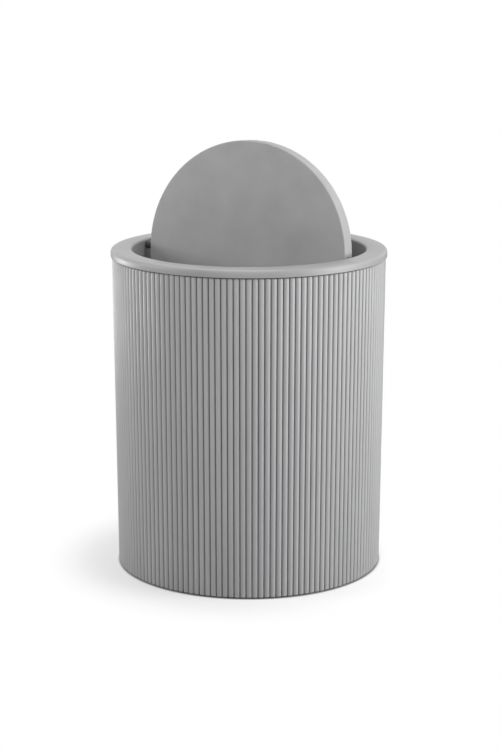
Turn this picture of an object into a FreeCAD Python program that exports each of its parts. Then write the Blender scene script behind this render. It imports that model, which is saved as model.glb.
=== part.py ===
"""Flip-lid trash can: a reeded can, a ring that lifts off it, and a disc lid on a cross axle.

Millimetres. +Z is up, the axle runs along X, and z = 0 is the surface the can stands on.
The lid is modelled in its own frame, closed and face up about its middle, and placed at its open angle.
"""
import math
import os

import FreeCAD
import Part
import Sketcher
from FreeCAD import Placement, Rotation, Vector

# name, value, what it is
SIZES = [
    ("can_height", 234.5, "floor to the top of the ring"),
    ("ring_radius", 100.0, "outside of the ring"),
    ("ring_width", 15.2, "ring from its outside to its mouth"),
    ("rim_overhang", 1.0, "ring beyond the reeds under it"),
    ("wall_taper", 1.8, "loss of the wall's radius from top to foot"),
    ("reed_count", 144, "reeds round the wall"),
    ("reed_depth", 1.6, "crest of a reed to its root"),
    ("crown_rise", 0.75, "rise of a reed's rounded crown"),
    ("crown_flats", 4, "flats that a reed's crown is drawn with"),
    ("flank_width", 0.35, "flank on each side of a crown"),
    ("valley_width", 0.1, "flat between two reeds at the foot"),
    ("wall_thickness", 1.8, "wall behind the grooves"),
    ("neck_step", 0.3, "neck inside the roots of the reeds"),
    ("floor_thickness", 3.0, "floor of the can"),
    ("floor_recess", 2.2, "height of the floor above the wall's lower end"),
    ("floor_bevel", 5.0, "inside corner between wall and floor"),
    ("foot_stand", 0.8, "wall's lower end above the table"),
    ("foot_count", 4, "rubber feet"),
    ("foot_inset", 15.8, "middle of a foot from the inside of the wall"),
    ("foot_radius", 7.0, "rubber foot"),
    ("ring_plate", 2.5, "thickness of the ring's top"),
    ("lip_drop", 5.4, "height of the outer lip"),
    ("skirt_thickness", 1.8, "inner skirt of the ring"),
    ("skirt_drop", 22.0, "height of the inner skirt"),
    ("outer_round", 2.4, "rounding of the ring's outer edge"),
    ("inner_round", 1.0, "rounding of the ring's mouth"),
    ("shadow_gap", 0.6, "between the lip and the reeds"),
    ("gussets_per_side", 3, "gussets under the ring, from cap to cap"),
    ("gusset_thickness", 2.0, "gusset"),
    ("gusset_drop", 6.0, "height of a gusset"),
    ("gusset_clear", 0.6, "gusset to the inside of the neck"),
    ("lift_gap", 0.3, "between pieces that move past each other"),
    ("seat_gap", 0.15, "round a piece that sits in a recess"),
    ("pivot_depth", 4.5, "axle below the top of the ring"),
    ("axle_forward", 1.93, "axle in front of the middle of the mouth"),
    ("lid_sink", 0.3, "face of the closed lid below the top of the ring"),
    ("lid_open_angle", 86.0, "lid as photographed, from closed"),
    ("lid_gap", 5.5, "between the lid's edge and the mouth"),
    ("lid_thickness", 12.0, "disc lid"),
    ("lid_face", 2.0, "face of the lid"),
    ("lid_wall", 2.8, "edge wall of the lid"),
    ("lid_edge_break", 0.6, "bevel of the lid's edges"),
    ("cover_thickness", 2.0, "cover under the lid"),
    ("cover_seat", 1.2, "ledge that carries the cover"),
    ("axle_rib_spread", 40.0, "ribs that carry the axle, from the middle"),
    ("axle_rib_thickness", 2.0, "rib round the axle"),
    ("axle_rib_width", 14.0, "rib round the axle"),
    ("axle_radius", 1.5, "steel axle"),
    ("axle_set_back", 2.2, "end of the axle inside the back of its cap"),
    ("axle_end_gap", 0.6, "behind each end of the axle"),
    ("running_gap", 0.06, "round the axle in its channel"),
    ("sleeve_radius", 2.4, "spacer sleeve"),
    ("sleeve_sink", 0.8, "depth of a sleeve in the lid's edge"),
    ("cap_clear", 1.8, "axle cap to the inside of the neck"),
    ("cap_post_clear", 1.3, "post of a cap to the screw bosses"),
    ("cap_flange", 3.0, "thickness of a cap's flange"),
    ("cap_margin", 0.6, "flange beyond the screw bosses"),
    ("cap_boss_drop", 8.0, "height of the bosses the caps are screwed to"),
    ("cap_boss_radius", 3.2, "screw boss under the ring"),
    ("cap_screw_spread", 8.5, "cap screws from the axle"),
    ("screw_tip_gap", 0.8, "tip of a screw to the end of its hole"),
    ("screw_radius", 1.0, "shank and pilot hole"),
    ("screw_clear", 0.2, "round a screw that passes through"),
    ("screw_head_radius", 2.1, "screw head"),
    ("screw_head_height", 1.2, "screw head"),
    ("boss_skin", 1.2, "plastic left above a pilot hole"),
    ("stop_reach", 9.1, "stop tab from the mouth inwards"),
    ("stop_gap", 0.6, "stop tab to the upright lid"),
    ("stop_width", 7.4, "stop tab across"),
    ("stop_height", 6.2, "stop tab"),
    ("stop_pad_length", 5.0, "soft pad on a stop tab"),
    ("stop_pad_height", 0.8, "soft pad on a stop tab"),
]

doc = FreeCAD.newDocument("flip_lid_can")
sheet = doc.addObject("Spreadsheet::Sheet", "sizes")
for row, (name, value, note) in enumerate(SIZES, start=1):
    sheet.set(f"A{row}", note)
    sheet.set(f"B{row}", str(value))
    sheet.setAlias(f"B{row}", name)
doc.recompute()


class Size:
    """A length with its value now and the expression that keeps it tied to the sheet."""

    def __init__(self, value, text):
        self.value = float(value)
        self.text = text

    def __add__(self, other):
        other = as_size(other)
        return Size(self.value + other.value, f"({self.text} + {other.text})")

    def __sub__(self, other):
        other = as_size(other)
        return Size(self.value - other.value, f"({self.text} - {other.text})")

    def __mul__(self, other):
        other = as_size(other)
        return Size(self.value * other.value, f"({self.text} * {other.text})")

    def __truediv__(self, other):
        other = as_size(other)
        return Size(self.value / other.value, f"({self.text} / {other.text})")

    def __neg__(self):
        return Size(-self.value, f"(-{self.text})")


def as_size(item):
    return item if isinstance(item, Size) else Size(item, repr(item))


def size(alias):
    return Size(sheet.get(alias), f"sizes.{alias}")


def turned(radius, step, count):
    """The x and y of a point on a circle, a number of steps of one full turn round it."""
    angle = 2 * math.pi * step / count.value
    text = f"360 deg * {step} / {count.text}"
    return (
        Size(radius.value * math.cos(angle), f"({radius.text} * cos({text}))"),
        Size(radius.value * math.sin(angle), f"({radius.text} * sin({text}))"),
    )


ORIGIN = (-1, 1)


def pin(sketch, point, direction, place):
    """Fix one coordinate of a sketch point at its distance from the origin."""
    if place.value == 0:
        line = -2 if direction == "X" else -1
        sketch.addConstraint(Sketcher.Constraint("PointOnObject", *point, line))
        return
    ends = (*ORIGIN, *point) if place.value > 0 else (*point, *ORIGIN)
    tied = place if place.value > 0 else -place
    index = sketch.addConstraint(Sketcher.Constraint(f"Distance{direction}", *ends, tied.value))
    sketch.setExpression(f"Constraints[{index}]", tied.text)


def outline(sketch, corners):
    """Draw a closed outline of straight sides, every corner tied to the origin."""
    spots = [(as_size(x), as_size(y)) for x, y in corners]
    points = [Vector(x.value, y.value, 0) for x, y in spots]
    sides = [
        sketch.addGeometry(Part.LineSegment(points[index - 1], points[index]))
        for index in range(len(points))
    ]
    for index, (x, y) in enumerate(spots):
        following = sides[(index + 1) % len(sides)]
        sketch.addConstraint(Sketcher.Constraint("Coincident", sides[index], 2, following, 1))
        pin(sketch, (sides[index], 2), "X", x)
        pin(sketch, (sides[index], 2), "Y", y)


def eased(x, y, radius, arrive, leave, flats):
    """A quarter round drawn as flats, at the corner (x, y) that is reached and left along two axes."""
    points = []
    for step in range(flats + 1):
        angle = math.pi / 2 * step / flats
        into = [math.sin(angle) - 1, 1 - math.cos(angle)]
        shift = [arrive[axis] * into[0] + leave[axis] * into[1] for axis in (0, 1)]
        points.append((as_size(x) + radius * shift[0], as_size(y) + radius * shift[1]))
    return points


UP, DOWN, OUT = (0, 1), (0, -1), (1, 0)


def rectangle(sketch, x_from, x_to, y_from, y_to):
    outline(sketch, [(x_from, y_from), (x_to, y_from), (x_to, y_to), (x_from, y_to)])


def circle(sketch, x, y, radius):
    x, y = as_size(x), as_size(y)
    centre = Vector(x.value, y.value, 0)
    geo = sketch.addGeometry(Part.Circle(centre, Vector(0, 0, 1), radius.value))
    index = sketch.addConstraint(Sketcher.Constraint("Radius", geo, radius.value))
    sketch.setExpression(f"Constraints[{index}]", radius.text)
    pin(sketch, (geo, 3), "X", x)
    pin(sketch, (geo, 3), "Y", y)


def origin_item(body, role):
    return next(item for item in body.Origin.OriginFeatures if item.Role == role)


def new_body(label):
    body = doc.addObject("PartDesign::Body", label)
    body.Label = label
    return body


def new_sketch(body, name, plane, lift=None):
    """A sketch on one of the body's own planes, moved along that plane's normal by lift."""
    sketch = body.newObject("Sketcher::SketchObject", f"{body.Name}_{name}")
    sketch.AttachmentSupport = [(origin_item(body, f"{plane}_Plane"), "")]
    sketch.MapMode = "FlatFace"
    if lift is not None:
        sketch.AttachmentOffset = Placement(Vector(0, 0, lift.value), Rotation())
        sketch.setExpression("AttachmentOffset.Base.z", lift.text)
    return sketch


def turn_about_z(body, kind, name, path):
    """Revolve an outline drawn in the XZ plane, as material or as a cut."""
    sketch = new_sketch(body, f"{name}_outline", "XZ")
    outline(sketch, path)
    feature = body.newObject(f"PartDesign::{kind}", f"{body.Name}_{name}")
    feature.Profile = sketch
    feature.ReferenceAxis = (sketch, ["V_Axis"])
    feature.Angle = 360
    doc.recompute()
    return feature


def extrude(body, kind, name, sketch, length, both_ways=False, downwards=False):
    """Pad or pocket a sketch. A pocket runs along the sketch's normal unless it goes downwards."""
    feature = body.newObject(f"PartDesign::{kind}", f"{body.Name}_{name}")
    feature.Profile = sketch
    feature.Length = length.value
    feature.setExpression("Length", length.text)
    feature.Midplane = both_ways
    feature.Reversed = downwards if kind == "Pad" else not downwards
    doc.recompute()
    return feature


def polar(body, name, features, count):
    pattern = body.newObject("PartDesign::PolarPattern", f"{body.Name}_{name}")
    pattern.Originals = features
    pattern.Axis = (origin_item(body, "Z_Axis"), [""])
    pattern.Angle = 360
    pattern.Occurrences = int(count.value)
    body.Tip = pattern
    pattern.setExpression("Occurrences", count.text)
    doc.recompute()
    return pattern


def mirrored(body, name, features, plane):
    mirror = body.newObject("PartDesign::Mirrored", f"{body.Name}_{name}")
    mirror.Originals = features
    mirror.MirrorPlane = (origin_item(body, f"{plane}_Plane"), [""])
    body.Tip = mirror
    doc.recompute()
    return mirror


def upright(kind, name, x, y, z, radius, height):
    """An upright cylinder or hexagon that stands on the point (x, y, z)."""
    item = doc.addObject(f"Part::{kind}", name)
    place = [as_size(x), as_size(y), as_size(z)]
    item.Placement = Placement(Vector(*[spot.value for spot in place]), Rotation())
    item.setExpression("Radius" if kind == "Cylinder" else "Circumradius", radius.text)
    item.setExpression("Height", height.text)
    for letter, spot in zip("xyz", place):
        item.setExpression(f"Placement.Base.{letter}", spot.text)
    return item


def group(label, items):
    """Equal separate pieces that share one name."""
    compound = doc.addObject("Part::Compound", label)
    compound.Label = label
    compound.Links = items
    return compound


def screw(name, x, y, seat, length):
    """A hexagon-head screw whose head bears on the seat from below, shank upwards."""
    shank = upright("Cylinder", f"{name}_shank", x, y, seat, size("screw_radius"), length)
    tall = size("screw_head_height")
    head = upright("Prism", f"{name}_head", x, y, seat - tall, size("screw_head_radius"), tall)
    whole = doc.addObject("Part::Fuse", name)
    whole.Base = head
    whole.Tool = shank
    return whole


# heights and radii that several pieces share
half_lid = size("lid_thickness") / 2
ring_top = size("can_height")
neck_top = ring_top - size("ring_plate")
lip_foot = ring_top - size("lip_drop")
skirt_foot = ring_top - size("skirt_drop")
reed_top = lip_foot - size("shadow_gap")
wall_foot = size("foot_stand")
floor_under = wall_foot + size("floor_recess")
floor_top = floor_under + size("floor_thickness")
crest_top = size("ring_radius") - size("rim_overhang")
crest_foot = crest_top - size("wall_taper")
root_top = crest_top - size("reed_depth")
inner_top = root_top - size("wall_thickness")
inner_foot = inner_top - size("wall_taper")
neck_radius = root_top - size("neck_step")
lip_inside = neck_radius + size("lift_gap")
mouth_radius = size("ring_radius") - size("ring_width")
lid_radius = mouth_radius - size("lid_gap")
skirt_back = mouth_radius + size("skirt_thickness")
pivot = ring_top - size("pivot_depth")
axle_y = -size("axle_forward")
closed_middle = ring_top - size("lid_sink") - half_lid
axle_rise = pivot - closed_middle
channel = size("axle_radius") + size("running_gap")
boss_foot = neck_top - size("cap_boss_drop")
pilot_depth = size("cap_boss_drop") - size("boss_skin")
cap_front = skirt_back + size("lift_gap")
cap_back = inner_top - size("cap_clear")
cap_screw_x = (cap_front + cap_back) / 2
axle_end = cap_back - size("axle_set_back")
stop_near = half_lid + size("stop_gap")
stop_top = closed_middle - half_lid - size("lift_gap") - size("stop_pad_height")
stop_pad_from = mouth_radius - size("stop_reach") + size("lift_gap")
cover_inside = size("cover_thickness") - half_lid
face_inside = half_lid - size("lid_face")

# the open lid, swung about the axle
open_turn = "sizes.lid_open_angle * 1 deg"
open_cos = Size(math.cos(math.radians(sheet.get("lid_open_angle"))), f"cos({open_turn})")
open_sin = Size(math.sin(math.radians(sheet.get("lid_open_angle"))), f"sin({open_turn})")
open_y = axle_y - axle_y * open_cos + axle_rise * open_sin
open_z = pivot - axle_y * open_sin - axle_rise * open_cos


def open_up(item):
    """Swing a piece of the lid, modelled closed, about the axle to its open angle."""
    spin = Rotation(Vector(1, 0, 0), size("lid_open_angle").value)
    item.Placement = Placement(Vector(0, open_y.value, open_z.value), spin)
    item.setExpression("Placement.Base.y", open_y.text)
    item.setExpression("Placement.Base.z", open_z.text)
    item.setExpression("Placement.Rotation.Angle", open_turn)


def reeded_can():
    """The can's skin, sewn to one solid: drafted reeds outside, turned faces elsewhere.

    Each reed is a flank, an arched crown drawn as flats, and a flank, swept along the draft in its own
    direction. The valleys between two reeds widen a little upwards.
    """
    count = int(sheet.get("reed_count"))
    foot, top = crest_foot.value, crest_top.value
    root = foot - sheet.get("reed_depth")
    half = math.pi * foot / count - sheet.get("valley_width") / 2
    crown = half - sheet.get("flank_width")
    rise = sheet.get("crown_rise")
    arch = (crown ** 2 + rise ** 2) / (2 * rise)
    reach = math.asin(crown / arch)
    flats = int(sheet.get("crown_flats"))
    low, high = wall_foot.value, reed_top.value
    trace = [Vector(root, -half, low)]
    for step in range(flats + 1):
        angle = reach * (2 * step / flats - 1)
        trace.append(Vector(foot - arch + arch * math.cos(angle), arch * math.sin(angle), low))
    trace.append(Vector(root, half, low))
    faces, rim_low, rim_high = [], [], []
    for index in range(count):
        spin = Rotation(Vector(0, 0, 1), 360 * index / count)
        spin_next = Rotation(Vector(0, 0, 1), 360 * (index + 1) / count)
        along = spin.multVec(Vector(top - foot, 0, high - low))
        along_next = spin_next.multVec(Vector(top - foot, 0, high - low))
        points = [spin.multVec(point) for point in trace]
        reed = [Part.LineSegment(*ends).toShape() for ends in zip(points, points[1:])]
        root_here, root_next = points[-1], spin_next.multVec(trace[0])
        top_here, top_next = root_here + along, root_next + along_next
        faces += [side.extrude(along) for side in reed]
        faces.append(Part.Face(Part.makePolygon([root_here, root_next, top_next, top_here, root_here])))
        rim_low += reed + [Part.LineSegment(root_here, root_next).toShape()]
        rim_high += [side.translated(along) for side in reed]
        rim_high.append(Part.LineSegment(top_here, top_next).toShape())
    for rim, radius, height in ((rim_low, inner_foot, wall_foot), (rim_high, neck_radius, reed_top)):
        inside = Part.Wire(Part.makeCircle(radius.value, Vector(0, 0, height.value)))
        faces.append(Part.makeFace([Part.Wire(rim), inside], "Part::FaceMakerBullseye"))
    underside = [(inner_foot, wall_foot), (inner_foot, floor_under), (as_size(0), floor_under)]
    inside = [
        (neck_radius, reed_top),
        (neck_radius, neck_top),
        (inner_top, neck_top),
        *reversed(eased(inner_foot, floor_top, size("floor_bevel"), OUT, UP, 1)),
        (as_size(0), floor_top),
    ]
    for path in (underside, inside):
        line = Part.makePolygon([Vector(x.value, 0, z.value) for x, z in path])
        faces += line.revolve(Vector(0, 0, 0), Vector(0, 0, 1), 360).Faces
    skin = Part.makeShell(faces)
    skin.sewShape()
    solid = Part.makeSolid(skin)
    if solid.Volume < 0:
        solid.reverse()
    return solid


can = doc.addObject("Part::Feature", "fluted_body")
can.Label = "fluted_body"
can.Shape = reeded_can()

feet = []
for step in range(int(sheet.get("foot_count"))):
    x, y = turned(inner_foot - size("foot_inset"), step, size("foot_count"))
    feet.append(upright("Cylinder", f"foot_{step}", x, y, 0, size("foot_radius"), floor_under))
foot_pads = group("foot_pads", feet)

# ring: section with lip, plate and skirt, then gussets, bosses, stop tabs and the axle's channel
ring = new_body("lid_ring")
turn_about_z(ring, "Revolution", "section", [
    (mouth_radius, skirt_foot),
    *eased(mouth_radius, ring_top, size("inner_round"), UP, OUT, 1),
    *eased(size("ring_radius"), ring_top, size("outer_round"), OUT, DOWN, 3),
    (size("ring_radius"), lip_foot),
    (lip_inside, lip_foot),
    (lip_inside, neck_top),
    (skirt_back, neck_top),
    (skirt_back, skirt_foot),
])
gusset = new_sketch(ring, "gusset_outline", "XZ")
first_turn = 90 / size("gussets_per_side").value
gusset.AttachmentOffset = Placement(Vector(0, 0, 0), Rotation(Vector(0, 1, 0), first_turn))
gusset.setExpression("AttachmentOffset.Rotation.Angle", "90 deg / sizes.gussets_per_side")
rectangle(
    gusset,
    skirt_back - size("skirt_thickness") / 2,
    inner_top - size("gusset_clear"),
    neck_top - size("gusset_drop"),
    neck_top + size("ring_plate") / 2,
)
gusset_pad = extrude(ring, "Pad", "gusset", gusset, size("gusset_thickness"), both_ways=True)
polar(ring, "gussets", [gusset_pad], size("gussets_per_side") * 2)
boss = new_sketch(ring, "boss_outline", "XY", boss_foot)
for side in (1, -1):
    circle(boss, cap_screw_x, axle_y + size("cap_screw_spread") * side, size("cap_boss_radius"))
boss_pad = extrude(ring, "Pad", "bosses", boss, size("cap_boss_drop") + size("ring_plate") / 2)
pilot = new_sketch(ring, "pilot_outline", "XY", boss_foot)
for side in (1, -1):
    circle(pilot, cap_screw_x, axle_y + size("cap_screw_spread") * side, size("screw_radius"))
pilot_cut = extrude(ring, "Pocket", "pilots", pilot, pilot_depth)
tab = new_sketch(ring, "tab_outline", "XY", stop_top - size("stop_height"))
rectangle(
    tab,
    mouth_radius - size("stop_reach"),
    mouth_radius + size("skirt_thickness") / 3,
    stop_near,
    stop_near + size("stop_width"),
)
tab_pad = extrude(ring, "Pad", "tab", tab, size("stop_height"))
mirrored(ring, "both_sides", [boss_pad, pilot_cut, tab_pad], "YZ")
bore = new_sketch(ring, "channel_outline", "YZ")
circle(bore, axle_y, pivot, channel)
extrude(ring, "Pocket", "channel", bore, (axle_end + size("axle_end_gap")) * 2, both_ways=True)
slot = new_sketch(ring, "slot_outline", "YZ")
rectangle(slot, axle_y - channel, axle_y + channel, skirt_foot, pivot)
extrude(ring, "Pocket", "slot", slot, skirt_back * 2, both_ways=True)


def stop_pad(name, side):
    """Soft pad on a stop tab, under the rim of the closed lid."""
    pad = doc.addObject("Part::Box", name)
    near = stop_pad_from if side > 0 else -stop_pad_from - size("stop_pad_length")
    corner = (near, stop_near + size("lift_gap"), stop_top)
    pad.Placement = Placement(Vector(*[spot.value for spot in corner]), Rotation())
    sides = (size("stop_pad_length"), size("stop_width") - size("lift_gap") * 2, size("stop_pad_height"))
    for letter, spot in zip("xyz", corner):
        pad.setExpression(f"Placement.Base.{letter}", spot.text)
    for side_name, length in zip(("Length", "Width", "Height"), sides):
        pad.setExpression(side_name, length.text)
    return pad


stop_pads = group("stop_pads", [stop_pad("stop_pad_right", 1), stop_pad("stop_pad_left", -1)])


def axle_cap(label, angle):
    """Cap under one end of the axle: flange on the bosses, post behind the skirt, tongue in its slot."""
    cap = new_body(label)
    half = size("cap_screw_spread") + size("cap_boss_radius") + size("cap_margin")
    flange = new_sketch(cap, "flange_outline", "XY", boss_foot - size("cap_flange"))
    rectangle(flange, cap_front, cap_back, -half, half)
    extrude(cap, "Pad", "flange", flange, size("cap_flange"))
    post = new_sketch(cap, "post_outline", "XY", boss_foot - size("cap_flange"))
    post_half = size("cap_screw_spread") - size("cap_boss_radius") - size("cap_post_clear")
    rectangle(post, cap_front, cap_back, -post_half, post_half)
    extrude(cap, "Pad", "post", post, pivot - boss_foot + size("cap_flange"))
    tongue = new_sketch(cap, "tongue_outline", "XY", skirt_foot)
    thin = channel - size("seat_gap")
    rectangle(tongue, mouth_radius + size("seat_gap"), cap_front + size("seat_gap"), -thin, thin)
    extrude(cap, "Pad", "tongue", tongue, pivot - skirt_foot)
    groove = new_sketch(cap, "groove_outline", "YZ")
    circle(groove, 0, pivot, channel)
    extrude(cap, "Pocket", "groove", groove, cap_back * 2, both_ways=True)
    holes = new_sketch(cap, "holes_outline", "XY", boss_foot)
    hole_radius = size("screw_radius") + size("screw_clear")
    for side in (1, -1):
        circle(holes, cap_screw_x, size("cap_screw_spread") * side, hole_radius)
    extrude(cap, "Pocket", "holes", holes, size("cap_flange"), downwards=True)
    cap.Placement = Placement(Vector(0, axle_y.value, 0), Rotation(Vector(0, 0, 1), angle))
    cap.setExpression("Placement.Base.y", axle_y.text)
    return cap


cap_right = axle_cap("axle_cap_right", 0)
cap_left = axle_cap("axle_cap_left", 180)
cap_screws = group("cap_screws", [
    screw(
        f"cap_screw_{along}_{across}",
        cap_screw_x * {"right": 1, "left": -1}[along],
        axle_y + size("cap_screw_spread") * {"front": -1, "rear": 1}[across],
        boss_foot - size("cap_flange"),
        size("cap_flange") + pilot_depth - size("screw_tip_gap"),
    )
    for along in ("right", "left")
    for across in ("front", "rear")
])

# lid: hollow shell with axle ribs and seats for the sleeves, inset cover, axle, sleeves
shell = new_body("lid_top_shell")
lid_inside = lid_radius - size("lid_wall")
rebate = lid_inside + size("cover_seat")
bevel = size("lid_edge_break")
turn_about_z(shell, "Revolution", "section", [
    (0, half_lid),
    (lid_radius - bevel, half_lid),
    (lid_radius, half_lid - bevel),
    (lid_radius, bevel - half_lid),
    (lid_radius - bevel, -half_lid),
    (rebate, -half_lid),
    (rebate, cover_inside),
    (lid_inside, cover_inside),
    (lid_inside, face_inside),
    (0, face_inside),
])
ribs = new_sketch(shell, "rib_outline", "XY", cover_inside)
for side in (1, -1):
    rectangle(
        ribs,
        size("axle_rib_spread") * side - size("axle_rib_thickness") / 2,
        size("axle_rib_spread") * side + size("axle_rib_thickness") / 2,
        -size("axle_rib_width") / 2,
        size("axle_rib_width") / 2,
    )
extrude(shell, "Pad", "ribs", ribs, face_inside + size("lid_face") / 2 - cover_inside)
axle_hole = new_sketch(shell, "axle_hole_outline", "YZ")
circle(axle_hole, axle_y, axle_rise, size("axle_radius"))
extrude(shell, "Pocket", "axle_hole", axle_hole, lid_radius * 2, both_ways=True)
sleeve_seat = lid_radius - size("sleeve_sink")
spot = new_sketch(shell, "sleeve_seat_outline", "YZ", sleeve_seat)
circle(spot, axle_y, axle_rise, size("sleeve_radius") + size("seat_gap"))
spot_cut = extrude(shell, "Pocket", "sleeve_seat", spot, size("sleeve_sink"))
mirrored(shell, "sleeve_seats", [spot_cut], "YZ")
open_up(shell)

cover = new_body("lid_bottom_cover")
disc = new_sketch(cover, "disc_outline", "XY", -half_lid)
circle(disc, 0, 0, rebate - size("seat_gap"))
extrude(cover, "Pad", "disc", disc, size("cover_thickness"))
open_up(cover)

axle = new_body("lid_axle")
rod = new_sketch(axle, "rod_outline", "YZ")
circle(rod, axle_y, axle_rise, size("axle_radius"))
extrude(axle, "Pad", "rod", rod, axle_end * 2, both_ways=True)
open_up(axle)


def spacer_sleeve(label, side):
    """Sleeve on the axle between the lid's edge and the mouth of the ring."""
    sleeve = new_body(label)
    tube = new_sketch(sleeve, "tube_outline", "YZ", sleeve_seat * side)
    circle(tube, axle_y, axle_rise, size("sleeve_radius"))
    circle(tube, axle_y, axle_rise, size("axle_radius"))
    length = mouth_radius - size("lift_gap") - size("running_gap") - sleeve_seat
    extrude(sleeve, "Pad", "tube", tube, length, downwards=side < 0)
    open_up(sleeve)
    return sleeve


sleeve_right = spacer_sleeve("spacer_sleeve_right", 1)
sleeve_left = spacer_sleeve("spacer_sleeve_left", -1)

doc.recompute()
for item in doc.Objects:
    if "Invalid" in item.State or "Error" in item.State:
        raise RuntimeError(f"{item.Name} did not build: {item.State}")
nodes = [
    can, foot_pads, ring, stop_pads, cap_left, cap_right, cap_screws,
    shell, cover, axle, sleeve_left, sleeve_right,
]
os.makedirs("parts", exist_ok=True)
for node in nodes:
    if node.Shape.isNull() or not node.Shape.isValid():
        raise RuntimeError(f"{node.Label} has no valid shape")
    node.Shape.exportStep(f"parts/{node.Label}.step")
    box = node.Shape.BoundBox
    print(
        f"{node.Label}: {len(node.Shape.Solids)} solids, {node.Shape.Volume / 1000:.2f} cm3,"
        f" x {box.XMin:.1f}..{box.XMax:.1f} y {box.YMin:.1f}..{box.YMax:.1f}"
        f" z {box.ZMin:.1f}..{box.ZMax:.1f}"
    )
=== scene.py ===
"""Looks of a grey flip-lid trash can: reeded wall, rim ring and a disc lid that stands open."""
import math

import bmesh
import bpy
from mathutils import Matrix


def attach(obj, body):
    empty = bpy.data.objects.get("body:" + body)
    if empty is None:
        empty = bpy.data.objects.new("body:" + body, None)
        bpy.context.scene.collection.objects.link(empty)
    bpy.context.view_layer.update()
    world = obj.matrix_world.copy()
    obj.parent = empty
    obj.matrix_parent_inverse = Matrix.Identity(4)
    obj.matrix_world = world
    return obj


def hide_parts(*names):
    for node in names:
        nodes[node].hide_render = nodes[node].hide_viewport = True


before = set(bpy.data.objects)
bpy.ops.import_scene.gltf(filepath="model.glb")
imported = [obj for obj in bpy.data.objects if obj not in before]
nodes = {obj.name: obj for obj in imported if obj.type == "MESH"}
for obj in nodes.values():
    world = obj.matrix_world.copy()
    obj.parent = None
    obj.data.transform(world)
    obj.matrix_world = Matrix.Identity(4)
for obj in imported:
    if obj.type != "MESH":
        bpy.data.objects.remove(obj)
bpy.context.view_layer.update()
MM = 0.001

# the can, in millimetres
CREST_FOOT, CREST_TOP = 97.2, 99.0
REED_COUNT, REED_DEPTH, CROWN_RISE, FLANK_WIDTH = 144, 1.6, 0.75, 0.35
REED_FOOT, REED_TOP = 0.8, 228.5
WALL = 1.8
NECK_RADIUS, NECK_TOP, NECK_BREAK = 97.1, 232.0, 0.3
FLOOR_UNDER, FLOOR_TOP, FLOOR_ROUND = 3.0, 6.0, 5.0

# how the can is drawn: columns from the crest of a reed to the valley beside it, rows near the rounded lower
# and upper ends of the reeds, with the distance from the end and the share of a reed's height that is left
# there, and the shares of the quarter turn between wall and floor that get a point
HALF_COLUMNS = 6
COLUMNS = 2 * HALF_COLUMNS
LOWER_END = [(0.0, 0.3), (0.12, 0.66), (0.45, 0.93), (0.9, 1.0)]
UPPER_END = [(1.2, 1.0), (0.5, 0.83), (0.16, 0.5), (0.0, 0.05)]
FLOOR_TURNS = (0.3, 0.6)

# ring and lid, in millimetres: how far each rounded edge reaches in, and how much its corners are softened
RING_TOP, RING_RADIUS, MOUTH_RADIUS = 234.5, 100.0, 84.8
OUTER_REACH, OUTER_SOFT = 2.5, 0.5
MOUTH_REACH, MOUTH_SOFT = 1.1, 0.6
LID_MIDDLE, LID_RADIUS, LID_LEAN = 231.8, 79.3, math.radians(4)
LID_REACH, LID_SOFT = 0.8, 0.25
SOFT_STEPS = 3

# modelling: points closer than WELD are one, a point within NEAR of a row is on it, both in millimetres
WELD, NEAR = 0.002, 0.02
BENT, SMOOTH = math.radians(15), math.radians(40)


def begin():
    """Leave edit mode with nothing selected."""
    if bpy.context.object and bpy.context.object.mode != "OBJECT":
        bpy.ops.object.mode_set(mode="OBJECT")
    bpy.ops.object.select_all(action="DESELECT")


def take(piece):
    """Make one piece the only one that is selected, and the active one."""
    begin()
    piece.select_set(True)
    bpy.context.view_layer.objects.active = piece


def edit(piece):
    """Start to edit a piece, with none of its points selected."""
    take(piece)
    bpy.ops.object.mode_set(mode="EDIT")
    bpy.ops.mesh.select_mode(type="VERT")
    bpy.ops.mesh.select_all(action="DESELECT")


def new_object(name, data):
    item = bpy.data.objects.new(name, data)
    bpy.context.scene.collection.objects.link(item)
    return item


def choose_points(piece, wanted):
    """Select just these vertices of the mesh that is being edited, by index."""
    mesh = bmesh.from_edit_mesh(piece.data)
    for point in mesh.verts:
        point.select = point.index in wanted
    mesh.select_flush_mode()
    bmesh.update_edit_mesh(piece.data)


def soften(piece, test, width):
    """Round the edges between two faces that meet at an angle and whose ends both pass a test."""
    bpy.ops.mesh.select_mode(type="EDGE")
    bpy.ops.mesh.select_all(action="DESELECT")
    mesh = bmesh.from_edit_mesh(piece.data)
    for side in mesh.edges:
        bent = len(side.link_faces) == 2 and side.calc_face_angle() > BENT
        side.select = bent and all(test(point.co / MM) for point in side.verts)
    mesh.select_flush_mode()
    bmesh.update_edit_mesh(piece.data)
    bpy.ops.mesh.bevel(offset=width * MM, segments=SOFT_STEPS, profile=0.5, affect="EDGES")


def turned_shell(name, outline, steps):
    """Draw an outline of radius and height point by point, and spin it round the upright axis."""
    begin()
    bpy.ops.mesh.primitive_plane_add(size=MM)
    piece = bpy.context.object
    piece.name = piece.data.name = name
    edit(piece)
    bpy.ops.mesh.select_all(action="SELECT")
    bpy.ops.mesh.merge(type="CENTER")
    places = [(radius * MM, 0, height * MM) for radius, height in outline]
    bpy.ops.transform.translate(value=places[0])
    for here, there in zip(places, places[1:]):
        step = tuple(b - a for a, b in zip(here, there))
        bpy.ops.mesh.extrude_region_move(TRANSFORM_OT_translate={"value": step})
    bpy.ops.mesh.select_all(action="SELECT")
    bpy.ops.mesh.spin(steps=steps, angle=2 * math.pi, center=(0, 0, 0), axis=(0, 0, 1))
    bpy.ops.mesh.select_all(action="SELECT")
    bpy.ops.mesh.remove_doubles(threshold=WELD * MM)
    bpy.ops.mesh.normals_make_consistent(inside=False)
    return piece


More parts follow.
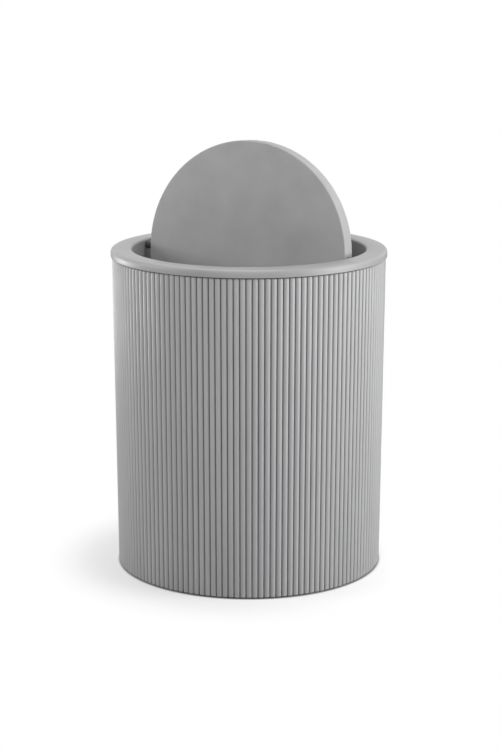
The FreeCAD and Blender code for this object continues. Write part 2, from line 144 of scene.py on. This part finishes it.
def merged_copy(node, name):
    """A CAD node's shape as a mesh of joined faces, ready to be softened."""
    piece = new_object(name, nodes[node].data.copy())
    edit(piece)
    bpy.ops.mesh.select_all(action="SELECT")
    bpy.ops.mesh.customdata_custom_splitnormals_clear()
    bpy.ops.mesh.remove_doubles(threshold=WELD * MM)
    bpy.ops.mesh.tris_convert_to_quads(face_threshold=math.radians(1), shape_threshold=math.radians(60))
    return piece


def stand_in(piece, node, body, surface):
    """Finish a new piece: smooth it up to an angle, dress it, and let it stand for its CAD node."""
    take(piece)
    bpy.ops.object.shade_smooth_by_angle(angle=SMOOTH)
    piece.data.materials.clear()
    piece.data.materials.append(surface)
    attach(piece, body)
    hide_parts(node)


# pieces

def reed_height(column):
    """Height of a reed above its root, from column 0 on the crest to the last one in the valley."""
    half = math.pi * CREST_FOOT / REED_COUNT
    crown = half - FLANK_WIDTH
    arch = (crown ** 2 + CROWN_RISE ** 2) / (2 * CROWN_RISE)
    across = half * column / HALF_COLUMNS
    if across < crown:
        return REED_DEPTH - arch + math.sqrt(arch ** 2 - across ** 2)
    return (REED_DEPTH - CROWN_RISE) * (half - across) / FLANK_WIDTH


def root_radius(height):
    """Radius of the wall at the roots of the reeds, which grows upwards with the draft."""
    share = (height - REED_FOOT) / (REED_TOP - REED_FOOT)
    return CREST_FOOT - REED_DEPTH + (CREST_TOP - CREST_FOOT) * share


def can_outline(rows):
    """Section of the can without its reeds, from the middle of the underside to the middle of the floor."""
    inner = root_radius(REED_FOOT) - WALL
    inner_top = root_radius(REED_TOP) - WALL
    outline = [(0, FLOOR_UNDER), (inner, FLOOR_UNDER), (inner, REED_FOOT)]
    outline += [(root_radius(height), height) for height, share in rows]
    outline += [(NECK_RADIUS, REED_TOP), (NECK_RADIUS, NECK_TOP - NECK_BREAK)]
    outline += [(NECK_RADIUS - NECK_BREAK, NECK_TOP), (inner_top, NECK_TOP)]
    outline.append((inner, FLOOR_TOP + FLOOR_ROUND))
    for turn in FLOOR_TURNS:
        angle = math.pi / 2 * (1 - turn)
        outline.append((
            inner - FLOOR_ROUND + FLOOR_ROUND * math.sin(angle),
            FLOOR_TOP + FLOOR_ROUND - FLOOR_ROUND * math.cos(angle),
        ))
    return outline + [(inner - FLOOR_ROUND, FLOOR_TOP), (0, FLOOR_TOP)]


def reeded_can():
    """The can, turned from its section, with the reeds drawn out of its wall column by column."""
    rows = [(REED_FOOT + up, share) for up, share in LOWER_END]
    rows += [(REED_TOP - down, share) for down, share in UPPER_END]
    can = turned_shell("reeded_can", can_outline(rows), REED_COUNT * COLUMNS)
    column_angle = 2 * math.pi / REED_COUNT / COLUMNS
    mesh = bmesh.from_edit_mesh(can.data)
    spots = {}
    for point in mesh.verts:
        radius, height = math.hypot(point.co.x, point.co.y) / MM, point.co.z / MM
        column = round(math.atan2(point.co.y, point.co.x) / column_angle) % COLUMNS
        column = min(column, COLUMNS - column)
        for row, (level, share) in enumerate(rows):
            if abs(height - level) < NEAR and abs(radius - root_radius(level)) < NEAR:
                spots.setdefault((column, row), set()).add(point.index)
    for (column, row), wanted in spots.items():
        level, share = rows[row]
        grow = 1 + reed_height(column) * share / root_radius(level)
        choose_points(can, wanted)
        bpy.ops.transform.resize(value=(grow, grow, 1), center_override=(0, 0, 0))
    bpy.ops.mesh.select_all(action="SELECT")
    bpy.ops.mesh.normals_make_consistent(inside=False)
    return can


def rim_ring():
    """The ring with its outer edge and mouth turned from flats to full rounds."""
    ring = merged_copy("lid_ring", "rim_ring")

    def outer_edge(place):
        far_out = math.hypot(place.x, place.y) > RING_RADIUS - OUTER_REACH
        return far_out and place.z > RING_TOP - OUTER_REACH

    def mouth(place):
        far_in = math.hypot(place.x, place.y) < MOUTH_RADIUS + MOUTH_REACH
        return far_in and place.z > RING_TOP - MOUTH_REACH

    soften(ring, outer_edge, OUTER_SOFT)
    soften(ring, mouth, MOUTH_SOFT)
    return ring


def disc_lid():
    """The lid's shell with its two rims rounded over."""
    lid = merged_copy("lid_top_shell", "disc_lid")

    def rim(place):
        up, back = place.z - LID_MIDDLE, place.y
        along = up * math.cos(LID_LEAN) + back * math.sin(LID_LEAN)
        return math.hypot(place.x, along) > LID_RADIUS - LID_REACH

    soften(lid, rim, LID_SOFT)
    return lid


# finishes: sizes of what is drawn in them, in metres, and the depth at which the painted shade in a valley
# starts and is full
CLOUD_SIZE, GRAIN_SIZE, BLOOM_SIZE, PEBBLE_SIZE = 0.026, 0.0008, 0.004, 0.0007
RELIEF_HEIGHT = 0.0002
GROOVE_SHADE_START, GROOVE_SHADE_FULL = 0.4 * MM, 1.2 * MM


def linear(code):
    """An sRGB hex colour as linear light."""
    shares = [int(code[start:start + 2], 16) / 255 for start in (1, 3, 5)]
    return (*[s / 12.92 if s <= 0.04045 else ((s + 0.055) / 1.055) ** 2.4 for s in shares], 1)


WHITE = linear("#FFFFFF")


def add(tree, kind, settings=None, links=None):
    """One shader node with its settings, its input values and what feeds its inputs."""
    node = tree.nodes.new(f"ShaderNode{kind}")
    for name, value in (settings or {}).items():
        setattr(node, name, value)
    for name, value in (links or {}).items():
        if isinstance(value, bpy.types.NodeSocket):
            tree.links.new(value, node.inputs[name])
        else:
            node.inputs[name].default_value = value
    return node


def combine(tree, operation, first, second):
    """One number from two."""
    return add(tree, "Math", {"operation": operation}, {0: first, 1: second}).outputs["Value"]


def length(tree, vector):
    return add(tree, "VectorMath", {"operation": "LENGTH"}, {0: vector}).outputs["Value"]


def ramp(tree, value, start, end, low=0.0, high=1.0, **settings):
    """A number that goes from low to high while the value goes from start to end."""
    return add(tree, "MapRange", settings, {
        "Value": value, "From Min": start, "From Max": end, "To Min": low, "To Max": high,
    }).outputs["Result"]


def blend(tree, share, low, high):
    """A colour that goes from low to high while the share goes from 0 to 1."""
    return add(tree, "Mix", {"data_type": "RGBA"}, {"Factor": share, "A": low, "B": high}).outputs["Result"]


def new_surface(name):
    surface = bpy.data.materials.new(name)
    surface.use_nodes = True
    surface.node_tree.nodes.clear()
    return surface, surface.node_tree


def groove_shade_share(tree, place):
    """How deep a point of the reeded wall lies: 0 on the crowns, 1 at the bottom of a valley. It masks the
    painted shade in the grooves.
    """
    apart = add(tree, "SeparateXYZ", links={"Vector": place}).outputs
    flat = add(tree, "CombineXYZ", links={"X": apart["X"], "Y": apart["Y"]}).outputs["Vector"]
    crest = ramp(
        tree, apart["Z"], REED_FOOT * MM, REED_TOP * MM, CREST_FOOT * MM, CREST_TOP * MM, clamp=False,
    )
    depth = combine(tree, "SUBTRACT", crest, length(tree, flat))
    return ramp(tree, depth, GROOVE_SHADE_START, GROOVE_SHADE_FULL)


def moulded_plastic(name, dark, light, roughness, flow=(1, 1, 1), groove_shade=None):
    """Moulded ABS from a spark-eroded mould: a satin skin with a fine even grain.

    The eye gets a soft broad sheen, a faint cloudiness in the grey, drawn out by flow, and a grain that
    breaks highlights. The real grain is about 0.2 mm and too fine for the picture, so it is drawn at
    0.8 mm. Where a colour is given for the grooves, the grooves between the reeds go over to it: this
    is painted shade, dark in the grooves whatever the light.
    """
    surface, tree = new_surface(name)
    place = add(tree, "TexCoord").outputs["Object"]
    drawn = add(tree, "Mapping", links={"Vector": place, "Scale": flow}).outputs["Vector"]
    cloud = add(tree, "TexNoise", links={
        "Vector": drawn, "Scale": 1 / CLOUD_SIZE, "Detail": 4.0, "Roughness": 0.55,
    }).outputs["Fac"]
    grain = add(tree, "TexNoise", links={
        "Vector": place, "Scale": 1 / GRAIN_SIZE, "Detail": 2.0,
    }).outputs["Fac"]
    tone = blend(tree, cloud, linear(dark), linear(light))
    # painted shade: the grooves between the reeds are darkened towards the given colour, whatever the light
    if groove_shade:
        tone = blend(tree, groove_shade_share(tree, place), tone, linear(groove_shade))
    gloss = ramp(tree, grain, 0.3, 0.7, roughness - 0.05, roughness + 0.05)
    relief = add(tree, "Bump", links={"Height": grain, "Strength": 0.12, "Distance": RELIEF_HEIGHT})
    skin = add(tree, "BsdfPrincipled", links={
        "Base Color": tone, "Roughness": gloss, "Normal": relief.outputs["Normal"], "IOR": 1.53,
    })
    add(tree, "OutputMaterial", links={"Surface": skin.outputs["BSDF"]})
    return surface


def drawn_steel(name):
    """Plain drawn steel wire: a grey metal with fine lines along the wire."""
    surface, tree = new_surface(name)
    place = add(tree, "TexCoord").outputs["Object"]
    drawn = add(tree, "Mapping", links={"Vector": place, "Scale": (40, 2500, 2500)}).outputs["Vector"]
    lines = add(tree, "TexNoise", links={"Vector": drawn, "Scale": 1.0, "Detail": 3.0}).outputs["Fac"]
    metal = add(tree, "BsdfPrincipled", links={
        "Base Color": blend(tree, lines, linear("#9C9D9F"), linear("#C6C7C8")),
        "Roughness": ramp(tree, lines, 0.0, 1.0, 0.26, 0.44),
        "Metallic": 1.0,
    })
    add(tree, "OutputMaterial", links={"Surface": metal.outputs["BSDF"]})
    return surface


def moulded_rubber(name):
    """Moulded soft rubber: near black and dull, with a dusty bloom and a fine pebbled skin."""
    surface, tree = new_surface(name)
    place = add(tree, "TexCoord").outputs["Object"]
    bloom = add(tree, "TexNoise", links={"Vector": place, "Scale": 1 / BLOOM_SIZE, "Detail": 3.0})
    pebble = add(tree, "TexVoronoi", links={"Vector": place, "Scale": 1 / PEBBLE_SIZE})
    relief = add(tree, "Bump", links={
        "Height": pebble.outputs["Distance"], "Strength": 0.2, "Distance": RELIEF_HEIGHT,
    })
    skin = add(tree, "BsdfPrincipled", links={
        "Base Color": blend(tree, bloom.outputs["Fac"], linear("#232323"), linear("#3A3A3B")),
        "Roughness": 0.82,
        "Normal": relief.outputs["Normal"],
        "IOR": 1.52,
    })
    add(tree, "OutputMaterial", links={"Surface": skin.outputs["BSDF"]})
    return surface


# the can's last colour, #7E7E7F, is the painted shade in the grooves between the reeds
can_grey = moulded_plastic("satin_abs_can", "#A6A6A7", "#BABABB", 0.45, (1, 1, 0.2), "#7E7E7F")
ring_grey = moulded_plastic("satin_abs_ring", "#9E9E9F", "#AEAEAF", 0.44)
lid_grey = moulded_plastic("satin_abs_lid", "#A0A0A1", "#BDBDBE", 0.6)
cap_grey = moulded_plastic("plain_abs_caps", "#A2A2A3", "#A8A8A9", 0.58)
# the sleeves are near black as painted shade, so that they read as the shade in the gap beside the lid
sleeve_dark_as_shade = moulded_plastic("acetal_sleeves_dark_as_shade", "#38383A", "#3E3E40", 0.85)
steel = drawn_steel("drawn_steel")
rubber = moulded_rubber("pad_rubber")

stand_in(reeded_can(), "fluted_body", "can", can_grey)
stand_in(rim_ring(), "lid_ring", "ring", ring_grey)
stand_in(disc_lid(), "lid_top_shell", "lid", lid_grey)
for surface, dressed in (
    (lid_grey, ["lid_bottom_cover"]),
    (cap_grey, ["axle_cap_left", "axle_cap_right"]),
    (sleeve_dark_as_shade, ["spacer_sleeve_left", "spacer_sleeve_right"]),
    (steel, ["lid_axle", "cap_screws"]),
    (rubber, ["foot_pads", "stop_pads"]),
):
    for name in dressed:
        nodes[name].data.materials.clear()
        nodes[name].data.materials.append(surface)

# studio, in metres: the camera stands to the right of the front, a little above the rim
AZIMUTH, DISTANCE, EYE_HEIGHT, PITCH = math.radians(27.5), 1.36396, 0.4551, math.radians(13.04)
SENSOR, LENS, SIDE_SHIFT = 36, 91.42, 0.00136
AIM_HEIGHT = 0.15
ROOM_LIGHT = 0.08
PAPER_SIZE = 40

# distances from the can's middle: the paper is lifted from just outside the foot, and blank farther out.
# Left unlifted at the foot, it paints a thin contact shadow, and lifted less on the left, it paints darker
# shade on that side
LIFT_START, LIFT_FULL = 0.0965, 0.0985
BLANK_START, BLANK_FULL = 0.1, 0.155
LIFT_LEFT, LIFT_RIGHT, LIFT_REACH = 0.44, 0.7, 0.12


def place_camera():
    camera = new_object("camera", bpy.data.cameras.new("camera"))
    camera.location = (DISTANCE * math.sin(AZIMUTH), -DISTANCE * math.cos(AZIMUTH), EYE_HEIGHT)
    camera.rotation_euler = (math.pi / 2 - PITCH, 0, AZIMUTH)
    camera.data.sensor_width = SENSOR
    camera.data.lens = LENS
    camera.data.shift_x = SIDE_SHIFT
    bpy.context.scene.camera = camera


def soft_box(name, right, toward, up, width, watts):
    """A square lamp that faces the can, placed as seen from the camera: right, towards it and up."""
    lamp = new_object(name, bpy.data.lights.new(name, "AREA"))
    side, front = math.cos(AZIMUTH), math.sin(AZIMUTH)
    lamp.location = (right * side + toward * front, right * front - toward * side, up)
    aim = lamp.location.copy()
    aim.z -= AIM_HEIGHT
    lamp.rotation_euler = aim.to_track_quat("Z", "Y").to_euler()
    lamp.data.size = width
    lamp.data.energy = watts


def white_room():
    """A dim light from all round, in a room that is plain white where it is seen or mirrored."""
    world = bpy.data.worlds.new("white_room")
    bpy.context.scene.world = world
    world.use_nodes = True
    tree = world.node_tree
    tree.nodes.clear()
    path = add(tree, "LightPath").outputs
    seen = combine(tree, "MAXIMUM", path["Is Camera Ray"], path["Is Transmission Ray"])
    seen = combine(tree, "MAXIMUM", seen, path["Is Glossy Ray"])
    room = add(tree, "Background", links={"Color": WHITE, "Strength": ROOM_LIGHT})
    white = add(tree, "Background", links={"Color": WHITE, "Strength": 1.0})
    both = add(tree, "MixShader", links={
        0: seen, 1: room.outputs["Background"], 2: white.outputs["Background"],
    })
    add(tree, "OutputWorld", links={"Surface": both.outputs["Shader"]})


def paper_floor():
    """White paper that shows the can's soft shade close to its foot and is blank farther out.

    The shade is lifted more on the right of the can than on its left, and the lift fades to nothing at the
    foot: the diffuse shade is real, while the darker left side and the thin dark line at the foot are
    painted shade.
    """
    bpy.ops.mesh.primitive_plane_add(size=PAPER_SIZE)
    floor = bpy.context.object
    floor.name = "studio_floor"
    paper, tree = new_surface("white_paper_floor")
    shown = add(tree, "LightPath").outputs["Is Camera Ray"]
    ground = add(tree, "TexCoord").outputs["Object"]
    away = length(tree, ground)
    across = add(tree, "VectorMath", {"operation": "DOT_PRODUCT"}, {
        0: ground, 1: (math.cos(AZIMUTH), math.sin(AZIMUTH), 0),
    }).outputs["Value"]
    # painted shade: less lift on the left and none at the foot darken the paper there
    most = ramp(tree, across, -LIFT_REACH, LIFT_REACH, LIFT_LEFT, LIFT_RIGHT)
    lift = combine(tree, "MULTIPLY", shown, ramp(tree, away, LIFT_START, LIFT_FULL, 0.0, most))
    outside = ramp(tree, away, BLANK_START, BLANK_FULL, interpolation_type="SMOOTHSTEP")
    blank = combine(tree, "MULTIPLY", shown, outside)
    sheet = add(tree, "BsdfDiffuse", links={"Color": linear("#B4B4B4")})
    glow = add(tree, "Emission", links={"Color": WHITE, "Strength": lift})
    near = add(tree, "AddShader", links={0: sheet.outputs["BSDF"], 1: glow.outputs["Emission"]})
    white = add(tree, "Emission", links={"Color": WHITE, "Strength": 1.0})
    whole = add(tree, "MixShader", links={
        0: blank, 1: near.outputs["Shader"], 2: white.outputs["Emission"],
    })
    add(tree, "OutputMaterial", links={"Surface": whole.outputs["Shader"]})
    floor.data.materials.append(paper)


place_camera()
soft_box("key_right", 1.54, 0.45, 0.5, 1.0, 23.5)
soft_box("fill_front", -0.2, 1.6, 0.85, 0.8, 8.5)
soft_box("fill_left", -1.62, 0.3, 0.75, 0.7, 9.5)
soft_box("strip_left", -1.5, -0.95, 0.12, 0.22, 8)
soft_box("top", 0.0, -0.1, 1.9, 0.45, 6.5)
soft_box("top_back", -0.3, -0.75, 1.75, 1.0, 8)
white_room()
paper_floor()

bpy.context.scene.view_settings.view_transform = "Standard"
